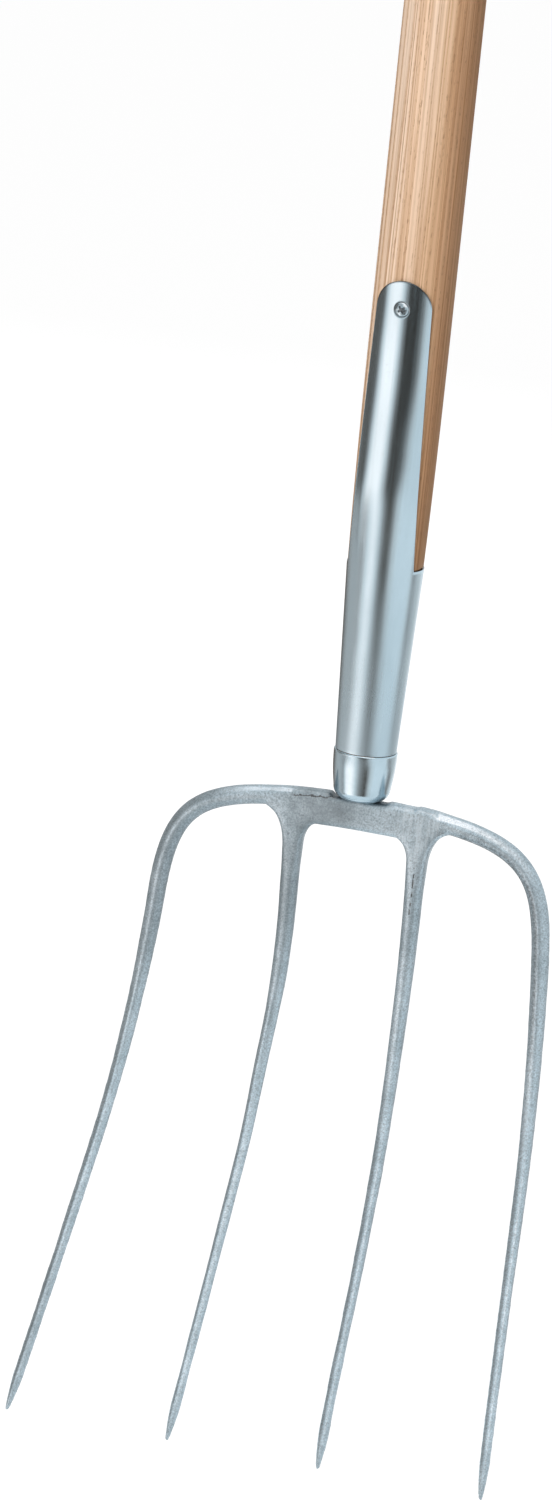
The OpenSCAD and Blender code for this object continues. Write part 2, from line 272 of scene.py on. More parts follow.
def mix(a, b, share):
    return a + (b - a) * share


def soft(share):
    """0 to 1 with soft ends."""
    t = np.clip(share, 0, 1)
    return t * t * (3 - 2 * t)


def linked(name, data):
    """A new object in the scene."""
    obj = bpy.data.objects.new(name, data)
    bpy.context.scene.collection.objects.link(obj)
    return obj


def keep_values(mesh, name, values):
    """Keeps one number for each point, which a material reads by its name."""
    mesh.attributes.new(name, "FLOAT", "POINT").data.foreach_set("value", values)


def mesh_object(name, points, faces):
    """A smooth mesh in the row frame from points in millimetres above the seam."""
    mesh = bpy.data.meshes.new(name)
    placed = np.asarray(points, float) * MM + (0, 0, SEAM_Z)
    mesh.from_pydata(placed.tolist(), [], faces)
    shape = bmesh.new()
    shape.from_mesh(mesh)
    bmesh.ops.recalc_face_normals(shape, faces=shape.faces)
    shape.to_mesh(mesh)
    shape.free()
    mesh.shade_smooth()
    return linked(name, mesh)


def grid_faces(rows, columns, around=False, loop=False):
    """Quads over rows of points.

    around joins the ends of each row, and loop joins the last row to the first.
    """
    last_column = columns if around else columns - 1
    last_row = rows if loop else rows - 1
    faces = []
    for r in range(last_row):
        low, high = r * columns, (r + 1) % rows * columns
        for c in range(last_column):
            d = (c + 1) % columns
            faces.append((low + c, low + d, high + d, high + c))
    return faces


def end_faces(rows, columns):
    """The faces that close the first and the last row."""
    top = (rows - 1) * columns
    return [tuple(range(columns)), tuple(range(top, top + columns))]


def revolve(outline, segments, loop=False):
    """Points and faces of an outline of (radius, height) turned about Z."""
    turn = np.linspace(0, 2 * math.pi, segments, endpoint=False)
    r, z = np.asarray(outline, float).T[..., None]
    rings = [r * np.cos(turn), r * np.sin(turn), z + 0 * turn]
    points = np.stack(rings, axis=-1).reshape(-1, 3)
    faces = grid_faces(len(outline), segments, around=True, loop=loop)
    if not loop:
        faces += end_faces(len(outline), segments)
    return points, faces


def arc(centre_r, centre_z, radius_r, radius_z, start, end, steps):
    """Outline points on an elliptical arc, angles in degrees."""
    angles = np.radians(np.linspace(start, end, steps + 1))
    return [(centre_r + radius_r * math.cos(a), centre_z + radius_z * math.sin(a)) for a in angles]


def join(parts):
    """One set of points and faces from several."""
    points, faces, start = [], [], 0
    for part_points, part_faces in parts:
        points.append(part_points)
        faces += [tuple(i + start for i in face) for face in part_faces]
        start += len(part_points)
    return np.concatenate(points), faces


# Handle

def wood_radius(z):
    """Radius of the shaft, which tapers a little under the strap."""
    share = np.clip((TAPER_TOP - z) / (TAPER_TOP - SOCKET_LENGTH), 0, 1)
    return HANDLE_R - NECK_REDUCTION / 2 * share**3


def shaft():
    """The shaft from the nose in the cap to the domed top."""
    inner_end = SOCKET_END_R - SHEET_T - FIT
    inner_rim = SOCKET_RIM_R - SHEET_T - FIT
    nose_r = cap_radius(NOSE_DEPTH) - CAP_WALL - FIT
    outline = [(nose_r, -NOSE_DEPTH), (inner_end, 0), (inner_rim, SOCKET_LENGTH)]
    taper = np.linspace(SOCKET_LENGTH + SHOULDER_DEPTH, TAPER_TOP, 40)
    outline += [(wood_radius(z), z) for z in taper]
    straight = np.linspace(TAPER_TOP, HANDLE_TOP - HANDLE_DOME, 90)
    outline += [(HANDLE_R, z) for z in straight[1:-1]]
    outline += arc(0, HANDLE_TOP - HANDLE_DOME, HANDLE_R, HANDLE_DOME, 0, 88, 16)
    return mesh_object("ash_shaft", *revolve(outline, ROUND_SEGMENTS))


# Socket and strap

def sheet_radius(z):
    """Outer radius of the sheet: the cone, eased into the strap that lies on the wood."""
    cone = mix(SOCKET_END_R, SOCKET_RIM_R, z / SOCKET_LENGTH)
    on_wood = wood_radius(np.maximum(z, SOCKET_LENGTH)) + FIT + SHEET_T
    gap = (cone - on_wood) / CONE_BLEND
    return np.where(z < SOCKET_LENGTH, cone, cone - CONE_BLEND * np.logaddexp(0, gap))


def strap_half(z):
    """Half the strap's width: straight sides up to the screw, then the round top."""
    share = (z - SOCKET_LENGTH) / (SCREW_Z - SOCKET_LENGTH)
    straight = mix(STRAP_ROOT_W / 2, STRAP_TOP_W / 2, share)
    above = np.maximum(z - SCREW_Z, 0)
    return np.where(above > 0, np.sqrt((STRAP_TOP_W / 2) ** 2 - above**2), straight)


def sheet_waves(x, z):
    """Slight unevenness of the strap, none at the rim and at the screw."""
    flat = np.stack([x, z], axis=-1).reshape(-1, 2) * WAVE_FREQUENCY
    waves = [noise.noise(Vector((across, 0, up))) for across, up in flat.tolist()]
    calm = soft((z - SOCKET_LENGTH) / WAVE_FADE) * soft((SCREW_Z - z) / WAVE_FADE)
    return WAVE_HEIGHT * calm * np.reshape(waves, x.shape)


def dimple_depth(distance):
    """Depth of the sunk hole at a distance from the screw's axis."""
    slope = SHEET_T / (DIMPLE_R - SCREW_SHANK_R)
    return np.clip((DIMPLE_R - distance) * slope, 0, SHEET_T)


def strap_sheet():
    """The rolled cone and its strap as one sheet, with its painted shade along the rim and round
    the screw marked.
    """
    across, up, back, rows = 84, 260, 60, 60
    root_half = math.asin(STRAP_ROOT_W / 2 / SOCKET_RIM_R)
    seam_half = math.pi - SEAM_GAP / 2 / SOCKET_END_R
    front = np.linspace(-root_half, root_half, across)
    side = np.linspace(root_half, seam_half, back)[1:]
    turns = np.concatenate([-side[::-1], front, side])
    heights = np.linspace(SEAM_RISE, SOCKET_LENGTH, rows)[:, None]
    r = sheet_radius(heights)
    cone = np.stack([r * np.sin(turns), -r * np.cos(turns), heights + 0 * turns], axis=-1)
    faces = grid_faces(rows, len(turns))

    # The strap's outer columns follow its sides and the start of its round top
    share = np.linspace(0, 1, up)[1:, None]
    columns = np.sin(front) / math.sin(root_half)
    top_r = STRAP_TOP_W / 2
    corner_x, corner_z = top_r * math.cos(STRAP_CORNER), SCREW_Z + top_r * math.sin(STRAP_CORNER)
    top_z = SCREW_Z + np.sqrt(top_r**2 - (corner_x * columns) ** 2)
    side_z = mix(SOCKET_LENGTH, corner_z, share)
    x = strap_half(side_z) * columns
    z = side_z + (top_z - corner_z) * share
    off_screw = np.hypot(x, z - SCREW_Z)
    r = sheet_radius(z) - dimple_depth(off_screw) + sheet_waves(x, z)
    strap = np.stack([x, -np.sqrt(r**2 - x**2), z], axis=-1)
    start = rows * len(turns)
    rim = (rows - 1) * len(turns) + len(side)
    faces += [(rim + c, rim + c + 1, start + c + 1, start + c) for c in range(across - 1)]
    faces += [tuple(i + start for i in face) for face in grid_faces(up - 1, across)]

    points = np.concatenate([cone.reshape(-1, 3), strap.reshape(-1, 3)])
    obj = mesh_object("strapped_sheet", points, faces)
    # Painted shade: a dark band along the strap's round top and a dark ring round the screw head
    rim_shade = soft(1 - (top_r - off_screw) / RIM_BAND) * soft((z - SCREW_Z) / RIM_FADE)
    rim_shade = np.maximum(rim_shade, soft(1 - (off_screw - SCREW_HEAD_R) / SCREW_RING))
    keep_values(obj.data, "rim_shade", np.concatenate([np.zeros(start), rim_shade.ravel()]))
    solid = obj.modifiers.new("sheet", "SOLIDIFY")
    solid.thickness = SHEET_T * MM
    solid.offset = -1
    edge = obj.modifiers.new("edges", "BEVEL")
    edge.width = SHEET_EDGE_R * MM
    edge.segments = 3
    edge.limit_method = "ANGLE"
    edge.angle_limit = SHEET_EDGE_ANGLE
    return obj


def screw():
    """The screw, turned about Z, given its cross recess and laid into the strap."""
    head_z = -SCREW_SUNK
    outline = [(SCREW_TIP_R, -SCREW_LENGTH - SHEET_T - 2 * SCREW_SHANK_R)]
    outline += [(SCREW_SHANK_R, -SCREW_LENGTH - SHEET_T), (SCREW_SHANK_R, -SHEET_T)]
    outline += arc(0, head_z, SCREW_HEAD_R, SCREW_DOME, 0, 89.5, 48)
    points, faces = revolve(outline, SCREW_SEGMENTS)
    x, y, z = points.T
    turned_x = np.abs(x * math.cos(RECESS_TURN) + y * math.sin(RECESS_TURN))
    turned_y = np.abs(y * math.cos(RECESS_TURN) - x * math.sin(RECESS_TURN))
    narrow, wide = np.minimum(turned_x, turned_y), np.maximum(turned_x, turned_y)
    in_slot = soft((RECESS_W / 2 - narrow) / RECESS_SIDE_SLOPE + 0.5)
    in_slot *= soft((RECESS_REACH - wide) / RECESS_END_SLOPE + 0.5)
    z = z - np.where(z > head_z, in_slot * RECESS_DEPTH, 0)
    face_y = -(wood_radius(SCREW_Z) + FIT + SHEET_T)
    obj = mesh_object("domed_screw", np.stack([x, face_y - z, SCREW_Z + y], axis=-1), faces)
    keep_values(obj.data, "recess", in_slot)
    return obj


# Cap

def cap_radius(depth):
    return CAP_RIM_R - CAP_TAPER * (depth / CAP_HEIGHT) ** 2


def thimble():
    """The cap: its outer wall down to the hole for the tang, and its inner wall back up."""
    corner_top = CAP_HEIGHT - CAP_CORNER
    corner_r = cap_radius(corner_top) - CAP_CORNER
    depths = np.linspace(CAP_ROLL_R, corner_top, 24)
    roll = cap_radius(CAP_ROLL_R) - CAP_ROLL_R
    inner_corner = CAP_CORNER - CAP_WALL
    outline = arc(roll, -CAP_ROLL_R, CAP_ROLL_R, CAP_ROLL_R, 90, 10, 8)
    outline += [(cap_radius(d), -d) for d in depths]
    outline += arc(corner_r, -corner_top, CAP_CORNER, CAP_CORNER, -8, -90, 14)
    outline += [(TANG_R + FIT, -CAP_HEIGHT), (TANG_R + FIT, CAP_WALL - CAP_HEIGHT)]
    outline += arc(corner_r, -corner_top, inner_corner, inner_corner, -90, 0, 8)
    outline += [(cap_radius(d) - CAP_WALL, -d) for d in depths[-2::-1]]
    return mesh_object("drawn_cap", *revolve(outline, ROUND_SEGMENTS, loop=True))


# Head

def bezier(controls, t):
    a, b, c, d = np.asarray(controls, float)
    t = np.asarray(t, float)[..., None]
    return (1 - t) ** 3 * a + 3 * t * (1 - t) ** 2 * b + 3 * t**2 * (1 - t) * c + t**3 * d


def bow_curve(t):
    """Points on the right half of the bow, from the crown to the shoulder."""
    slope = OUTER_SLOPES[0]
    shoulder = np.array([SHOULDER_X, 0, SHOULDER_Z])
    pull = SHOULDER_DROP * SHOULDER_PULL * np.array([-math.sin(slope), 0, math.cos(slope)])
    crown = (0, 0, CROWN_Z)
    beside = (SHOULDER_X * CROWN_PULL, 0, CROWN_Z)
    return bezier([crown, beside, shoulder + pull, shoulder], t)


def tine_curve(x, slopes, s):
    """Points on a tine, at lengths s below the shoulders."""
    bend_length = BEND_R * LEAN
    angle = np.clip(s, 0, bend_length) / BEND_R
    rest = np.maximum(s - bend_length, 0)
    forward = BEND_R * (1 - np.cos(angle)) + rest * np.sin(angle)
    down = np.minimum(s, 0) + BEND_R * np.sin(angle) + rest * np.cos(angle)
    slope, tip_slope = np.tan(slopes)
    spread = slope * s + (tip_slope - slope) * np.maximum(s, 0) ** 2 / (2 * TINE_LENGTH)
    return np.stack([x + spread, -forward, SHOULDER_Z - down], axis=-1)


def tine_d(root_d, root_s, s):
    """Diameter of a tine, tapering from its root and rounded to a point at its end."""
    left = (TINE_LENGTH - s) / (TINE_LENGTH - root_s)
    body = mix(TINE_TIP_D, root_d, np.clip(left, 0, 1) ** 2)
    pointed = np.clip((TINE_LENGTH - s) / POINT_LENGTH, 0, 1) ** POINT_ROUNDING
    return mix(NOSE_D, body, pointed)


def stations(start, steps):
    """Lengths along a tine from a start to its end, closer together in the point."""
    body = np.linspace(start, TINE_LENGTH - POINT_LENGTH, steps)
    left = np.linspace(1, 0, POINT_STEPS)[1:] ** POINT_CROWDING
    return np.concatenate([body, TINE_LENGTH - POINT_LENGTH * left])


def ridge_power(s, root_power):
    return mix(root_power, RIDGE_POWER, soft(s / RIDGE_LENGTH))


def flare(width, height, below):
    """What a fillet adds to a root, at a distance below its top."""
    u = np.clip(below / height, 0, 1)
    return width * (1 - np.sqrt(1 - (1 - u) ** 2))


def loft(centres, out, into, deep, power, turn):
    """Points and faces of a closed bar through rounded sections, one value of each a section."""
    way = np.gradient(centres, axis=0)
    way /= np.linalg.norm(way, axis=1, keepdims=True)
    side = np.cross(way, (0, 1, 0))
    side /= np.linalg.norm(side, axis=1, keepdims=True)
    front = np.cross(way, side)
    c, s = np.cos(turn)[:, None], np.sin(turn)[:, None]
    side, front = side * c - front * s, front * c + side * s
    angle = np.linspace(0, 2 * math.pi, BAR_SIDES, endpoint=False)
    c, s = np.cos(angle), np.sin(angle)
    exponent = 2 / power[:, None]
    half = np.where(c > 0, out[:, None], into[:, None])
    across = half * np.sign(c) * np.abs(c) ** exponent
    depth = deep[:, None] * np.sign(s) * np.abs(s) ** exponent
    points = centres[:, None] + side[:, None] * across[..., None]
    points = points + front[:, None] * depth[..., None]
    faces = grid_faces(len(centres), BAR_SIDES, around=True) + end_faces(len(centres), BAR_SIDES)
    return points.reshape(-1, 3), faces


def bow():
    """The bow with its two outer tines, as one bar."""
    t = np.linspace(0, 1, 160)
    s = stations(0, 110)[1:]
    arch = bow_curve(t)
    flat = 1 - soft((arch[:, 0] - INNER_X) / (bow_curve(FILLET_MEET)[0] - INNER_X))
    seat = 1 - soft((arch[:, 0] - SEAT_R) + 0.5)
    r = mix(BAR_D, SHOULDER_D, t) / 2
    tine_r = tine_d(SHOULDER_D, 0, s) / 2
    centres = np.concatenate([arch, tine_curve(SHOULDER_X, OUTER_SLOPES, s)])
    out = np.concatenate([r - SEAT_DEPTH * seat, tine_r])
    into = np.concatenate([r + (PLATE_H - BAR_D) * flat, tine_r])
    deep = np.concatenate([mix(r, PLATE_T / 2, flat), tine_r])
    along_ridge = (t - BOW_RIDGE_START) / (BOW_RIDGE_END - BOW_RIDGE_START)
    ridged = mix(ROUND, BOW_POWER, soft(along_ridge))
    power = np.concatenate([mix(ridged, PLATE_POWER, flat), ridge_power(s, BOW_POWER)])
    out, into, deep, power = (np.concatenate([v[:0:-1], v]) for v in (out, into, deep, power))
    unturned = np.zeros(len(s) + 2 * len(t) - 1)
    turn = np.concatenate([unturned, RIGHT_TURN * soft(s / RIDGE_LENGTH)])
    centres = np.concatenate([centres[:0:-1] * (-1, 1, 1), centres])
    x = centres[:, 0]
    out -= SIDE_FLAT_DEPTH * (x > SEAT_R) * (1 - soft(x - SIDE_FLAT_END + 0.5))
    return loft(centres, out, into, deep, power, turn)


def inner_tine(wander, turn):
    """The right inner tine with its filleted root, from the crown down."""
    height, length, start, end = wander
    root_s = SHOULDER_Z - WEB_Z
    meet = bow_curve(FILLET_MEET)
    s = stations(SHOULDER_Z - CROWN_Z, 190)
    centres = tine_curve(INNER_X, INNER_SLOPES, s)
    sway = height * np.sin(2 * math.pi * (s - start) / length)
    centres[:, 0] += sway * soft((end - s) / RIDGE_LENGTH)
    r = tine_d(INNER_ROOT_D, root_s, np.maximum(s, root_s)) / 2
    reach = meet[0] - INNER_X - INNER_ROOT_D / 2
    root = 1 - soft((s - root_s) / (FILLET_IN_H + FILLET_OUT_H))
    return loft(
        centres,
        r + flare(reach, FILLET_OUT_H, meet[2] - BAR_D / 2 - centres[:, 2]),
        r + flare(FILLET_IN_W, FILLET_IN_H, WEB_Z - centres[:, 2]),
        mix(r, PLATE_T / 2 - FIT, root),
        mix(ridge_power(s, ROUND), PLATE_POWER, root),
        turn * soft(s / RIDGE_LENGTH),
    )


def mirrored(part):
    points, faces = part
    return points * (-1, 1, 1), faces


def tang():
    outline = [(TANG_TIP_R, CROWN_Z), (TANG_R, -CAP_HEIGHT), (TANG_TIP_R, TANG_TOP)]
    return revolve(outline, TANG_SEGMENTS)


def chamfer_cut(points):
    """How far points on the upper front edge of the yoke and the bow are filed off."""
    outward = np.array([0, -math.sin(CHAMFER_TILT), math.cos(CHAMFER_TILT)])
    x = points[:, 0] / MM
    arch = bow_curve(np.linspace(0, 1, 80))
    top = SEAM_Z / MM + BAR_D / 2 + np.interp(np.abs(x), arch[:, 0], arch[:, 2])
    cut = np.zeros(len(points))
    for start, end, start_width, end_width, lowered, start_fade, end_fade in CHAMFERS:
        corner = np.stack([x, 0 * x - PLATE_T / 2, top - lowered], axis=-1)
        width = mix(start_width, end_width, np.clip((x - start) / (end - start), 0, 1))
        depth = width * math.sin(CHAMFER_TILT) * math.cos(CHAMFER_TILT)
        above = np.maximum((points / MM - corner) @ outward + depth, 0)
        cut += above * soft((x - start) / start_fade + 0.5) * soft((end - x) / end_fade + 0.5)
    return cut[:, None] * outward * MM


def forged_head():
    """The bars fused into one forging, softened, filed, and uneven as hammered steel is."""
    left = mirrored(inner_tine(LEFT_WANDER, LEFT_TURN))
    right = inner_tine(RIGHT_WANDER, RIGHT_TURN)
    obj = mesh_object("forged_head", *join([bow(), left, right, tang()]))
    fuse = obj.modifiers.new("fuse", "REMESH")
    fuse.mode = "VOXEL"
    fuse.voxel_size = VOXEL * MM
    ease = obj.modifiers.new("ease", "SMOOTH")
    ease.factor = 0.5
    ease.iterations = 5
    made = obj.evaluated_get(bpy.context.evaluated_depsgraph_get())
    fused = bpy.data.meshes.new_from_object(made)
    obj.modifiers.clear()
    obj.data = fused
    points = np.empty(len(fused.vertices) * 3, np.float32)
    normals = np.empty_like(points)
    fused.vertices.foreach_get("co", points)
    fused.vertices.foreach_get("normal", normals)
    points, normals = points.reshape(-1, 3), normals.reshape(-1, 3)
    points = points - chamfer_cut(points)
    lift = np.zeros(len(points))
    for frequency, height in FORGE_WAVES:
        places = (points / MM * frequency).tolist()
        lift += [height * MM * noise.noise(Vector(p)) for p in places]
    fused.vertices.foreach_set("co", (points + normals * lift[:, None]).ravel())
    fused.update()
    fused.shade_smooth()
    return obj


# Materials

def grey(level):
    return (level,) * 3


class Graph:
    """The nodes of a material or a world, with short ways to add and link them."""

    def __init__(self, owner):
        owner.use_nodes = True
        self.owner = owner
        self.nodes = owner.node_tree.nodes
        self.links = owner.node_tree.links

    def add(self, kind, inputs=None, **settings):
        made = self.nodes.new(kind)
        for key, value in settings.items():
            setattr(made, key, value)
        for key, value in (inputs or {}).items():
            self.set(made, key, value)
        return made

    def set(self, made, key, value):
        """Links a socket to an input, or sets a plain value on it."""
        if isinstance(value, bpy.types.NodeSocket):
            self.links.new(value, made.inputs[key])
        else:
            made.inputs[key].default_value = value

    def finish(self, inputs):
        """The material, with these inputs on its own shader."""
        for key, value in inputs.items():
            self.set(self.nodes["Principled BSDF"], key, value)
        return self.owner

    def show(self, shader):
        """The material, with another shader in place of its own."""
        self.set(self.nodes["Material Output"], "Surface", shader.outputs[0])
        return self.owner

    def place(self, scale=(1, 1, 1)):
        """Where a point lies in the row frame, stretched by a scale for each axis."""
        spot = self.add("ShaderNodeTexCoord").outputs["Object"]
        return self.add("ShaderNodeMapping", {"Vector": spot, "Scale": scale}).outputs["Vector"]

    def millimetres(self):
        """X, Y and Z in millimetres above the seam."""
        spot = self.add("ShaderNodeTexCoord").outputs["Object"]
        inputs = {"Vector": spot, "Location": (0, 0, -SEAM_Z / MM), "Scale": (1 / MM,) * 3}
        moved = self.add("ShaderNodeMapping", inputs).outputs["Vector"]
        return self.add("ShaderNodeSeparateXYZ", {0: moved}).outputs[:3]

    def facing(self):
        return self.add("ShaderNodeNewGeometry").outputs["Normal"]

    def attribute(self, name):
        return self.add("ShaderNodeAttribute", attribute_name=name).outputs["Fac"]

    def noise(self, vector, scale, detail=4, roughness=0.5):
        inputs = {"Vector": vector, "Scale": scale, "Detail": detail, "Roughness": roughness}
        return self.add("ShaderNodeTexNoise", inputs).outputs["Fac"]

    def math(self, operation, *values):
        return self.add("ShaderNodeMath", dict(enumerate(values)), operation=operation).outputs[0]

    def product(self, *values):
        return reduce(partial(self.math, "MULTIPLY"), values)

    def highest(self, *values):
        return reduce(partial(self.math, "MAXIMUM"), values)

    def vector(self, operation, *values, output="Vector"):
        made = self.add("ShaderNodeVectorMath", dict(enumerate(values)), operation=operation)
        return made.outputs[output]

    def measure(self, operation, *values):
        """A vector operation whose result is a number."""
        return self.vector(operation, *values, output="Value")

    def remap(self, value, low, high, to_low=0.0, to_high=1.0):
        inputs = {"Value": value, "From Min": low, "From Max": high}
        inputs |= {"To Min": to_low, "To Max": to_high}
        return self.add("ShaderNodeMapRange", inputs).outputs["Result"]

    def near(self, value, middle, outer, inner, most=1.0):
        """0 beyond the outer distance from the middle, and most within the inner one."""
        off = self.math("ABSOLUTE", self.math("SUBTRACT", value, middle))
        return self.remap(off, outer, inner, 0.0, most)

    def window(self, value, start, full, fall, end, most=1.0):
        """0 up to start, most from full to fall, and 0 from end on."""
        return self.product(self.remap(value, start, full, 0.0, most), self.remap(value, end, fall))

    def mark(self, off, half_width, along, middle, half_length):
        """1 on a thin line: off is the distance from it, along runs with it."""
        thin = self.near(off, 0, half_width, half_width / 3)
        return self.product(thin, self.near(along, middle, half_length + 2, half_length))

    def ramp(self, value, positions, colours):
        made = self.add("ShaderNodeValToRGB", {"Fac": value})
        stops = made.color_ramp.elements
        while len(stops) < len(positions):
            stops.new(0.5)
        for stop, position, colour in zip(stops, positions, colours):
            stop.position = position
            stop.color = (*colour, 1)
        return made.outputs["Color"]

    def blend(self, share, first, second, how="MIX"):
        made = self.add("ShaderNodeMix", {0: share}, data_type="RGBA", blend_type=how)
        for key, value in ((6, first), (7, second)):
            is_socket = isinstance(value, bpy.types.NodeSocket)
            self.set(made, key, value if is_socket else (*value, 1))
        return made.outputs[2]

    def tint(self, colour, by, share=1.0):
        return self.blend(share, colour, by, "MULTIPLY")

    def bump(self, height, distance, strength):
        inputs = {"Height": height, "Distance": distance, "Strength": strength}
        return self.add("ShaderNodeBump", inputs).outputs["Normal"]


def material(name):
    return Graph(bpy.data.materials.new(name))


def ash_wood():
    """Straight-grained ash: growth rings as long streaks with pores; one side browner, heartwood
    and painted shade.
    """
    g = material("ash_wood")
    pith = (0.058, 0.006, 0)
    ring_width = 0.0023
    sway = g.remap(g.noise(g.place((26, 26, 1.8)), 1, 2), 0.3, 0.7, -0.0016, 0.0016)
    away = g.measure("DISTANCE", g.place((1, 1, 0)), pith)
    inputs = {"W": away, "Scale": 190, "Detail": 1}
    years = g.add("ShaderNodeTexNoise", inputs, noise_dimensions="1D").outputs["Fac"]
    uneven = g.remap(years, 0.3, 0.7, -0.0022, 0.0022)
    rings = g.math("DIVIDE", g.math("ADD", g.math("ADD", away, sway), uneven), ring_width)
    shades = [grey(level) for level in (0.15, 1, 0.5, 0)]
    early = g.ramp(g.math("FRACT", rings), (0, 0.16, 0.36, 0.7), shades)
    year = g.add("ShaderNodeTexWhiteNoise", {"W": g.math("FLOOR", rings)}, noise_dimensions="1D")
    streak = g.product(early, g.remap(year.outputs["Value"], 0, 1, 0.3, 1.0))
    colour = g.blend(streak, LATE_WOOD, EARLY_WOOD)
    fibre = g.noise(g.place((800, 800, 7)), 1, 4, 0.65)
    colour = g.tint(colour, g.ramp(fibre, (0.34, 0.58), WOOD_FIBRES))
    wide = g.noise(g.place((60, 60, 2.5)), 1, 2)
    colour = g.tint(colour, g.ramp(wide, (0.34, 0.62), WOOD_TONES))
    # Browner and darker towards one side: partly heartwood, partly painted shade
    heart_and_shade = g.remap(g.millimetres()[0], 2, 18)
    colour = g.tint(colour, g.ramp(heart_and_shade, (0, 0.35, 1), HEARTWOOD_AND_SHADE))
    dash = g.noise(g.place((1500, 1500, 330)), 1, 2, 0.5)
    pores = g.product(g.remap(dash, 0.56, 0.64), early)
    colour = g.blend(g.product(pores, 0.55), colour, PORES)
    height = g.math("SUBTRACT", g.product(fibre, 0.4), pores)
    return g.finish({
        "Base Color": colour,
        "Specular IOR Level": 0.06,
        "Roughness": g.remap(fibre, 0.3, 0.7, 0.62, 0.48),
        "Normal": g.bump(height, 0.12 * MM, 0.6),
    })


def cut_edges(g):
    """1 where a face doesn't look straight out from the handle's axis."""
    out = g.vector("NORMALIZE", g.place((1, 1, 0)))
    return g.remap(g.measure("DOT_PRODUCT", out, g.facing()), 0.7, 0.45)


def plated_sheet():
    """Rolled sheet with a satin plated face, fine drawing lines along it, darker cut edges, and
    painted shade along the strap's rim and round the screw head.
    """
    g = material("plated_sheet")
    lines = g.noise(g.place((1400, 1400, 14)), 1, 3, 0.6)
    cloud = g.noise(g.place((60, 60, 22)), 1, 3)
    speck = g.noise(g.place(), 900, 2)
    colour = g.ramp(cloud, (0.35, 0.65), PLATING)
    colour = g.blend(g.remap(speck, 0.62, 0.8, 0, 0.25), colour, PLATING_SPECKS)
    # Darker cut edges, and the painted shade along the strap's rim and round the screw head
    colour = g.blend(g.highest(cut_edges(g), g.attribute("rim_shade")), colour, DARK_EDGES_AND_RIM_SHADE)
    satin = g.remap(g.millimetres()[2], 0, SOCKET_LENGTH, 0.32, 0.17)
    around = g.add("ShaderNodeTangent", direction_type="RADIAL", axis="Z").outputs["Tangent"]
    return g.finish({
        "Base Color": colour,
        "Metallic": 1.0,
        "Roughness": g.math("ADD", satin, g.remap(lines, 0.3, 0.7, -0.03, 0.03)),
        "Anisotropic": 0.6,
        "Tangent": around,
        "Normal": g.bump(lines, 0.03 * MM, 0.25),
    })


def polished_cap():
    """Drawn and polished steel with fine scuffs."""
    g = material("polished_cap")
    scuff = g.noise(g.place((300, 300, 700)), 1, 4, 0.65)
    cloud = g.noise(g.place(), 130, 3)
    return g.finish({
        "Base Color": g.ramp(cloud, (0.3, 0.7), PLATING),
        "Metallic": 1.0,
        "Roughness": g.remap(scuff, 0.35, 0.75, 0.14, 0.22),
        "Normal": g.bump(scuff, 0.03 * MM, 0.2),
    })


def screw_steel():
    """Worn plating with a dark recess."""
    g = material("screw_steel")
    wear = g.noise(g.place(), 700, 4, 0.6)
    colour = g.ramp(wear, (0.35, 0.65), SCREW_TONES)
    return g.finish({
        "Base Color": g.blend(g.product(g.attribute("recess"), 0.8), colour, RECESS_SHADE),
        "Metallic": 1.0,
        "Roughness": g.remap(wear, 0.3, 0.7, 0.25, 0.12),
        "Normal": g.bump(wear, 0.05 * MM, 0.4),
    })


def dull_and_shaded_parts(g, x, z):
    """Dull parts of the plate, the left inner tine's root and the tips, and painted shade on the
    left of the bow.
    """
    plate = g.product(g.near(x, -15, 22, 8), g.remap(z, -46, -40))
    root = g.product(g.near(x, -INNER_X, 8, 5, 0.7), g.window(z, -115, -75, -50, -40))
    left_tip = g.product(g.remap(x, -82, -92), g.remap(z, -215, -270, 0, 0.4))
    tips = g.remap(z, -290, -311, 0, 0.35)
    # Painted shade: the left of the bow darker
    left_bow = g.product(g.remap(x, -44, -60), g.remap(z, -140, -100, 0, 0.17))
    return g.highest(plate, root, left_tip, tips, left_bow)


def filed_edges_and_highlights(g, x, z, facing):
    """The filed edges of the bow, left and right of the yoke, brighter as filed metal and with a
    painted highlight.
    """
    outward = (0, -math.sin(CHAMFER_TILT), math.cos(CHAMFER_TILT))
    filed = g.remap(g.measure("DOT_PRODUCT", facing, outward), 0.93, 0.97)
    reach = g.highest(g.window(x, -64, -50, -31, -29), g.window(x, 37, 38.5, 52, 68))
    return g.product(filed, g.remap(z, -42, -36), reach)


def grinding_lines(g, x, z):
    """Upright lines on the right of the plate."""
    ground = g.product(g.near(x, 31, 20, 10, 0.42), g.remap(z, -52, -46))
    stripes = g.noise(g.place((1000, 60, 70)), 1, 3, 0.6)
    return g.product(g.remap(stripes, 0.46, 0.6), ground)


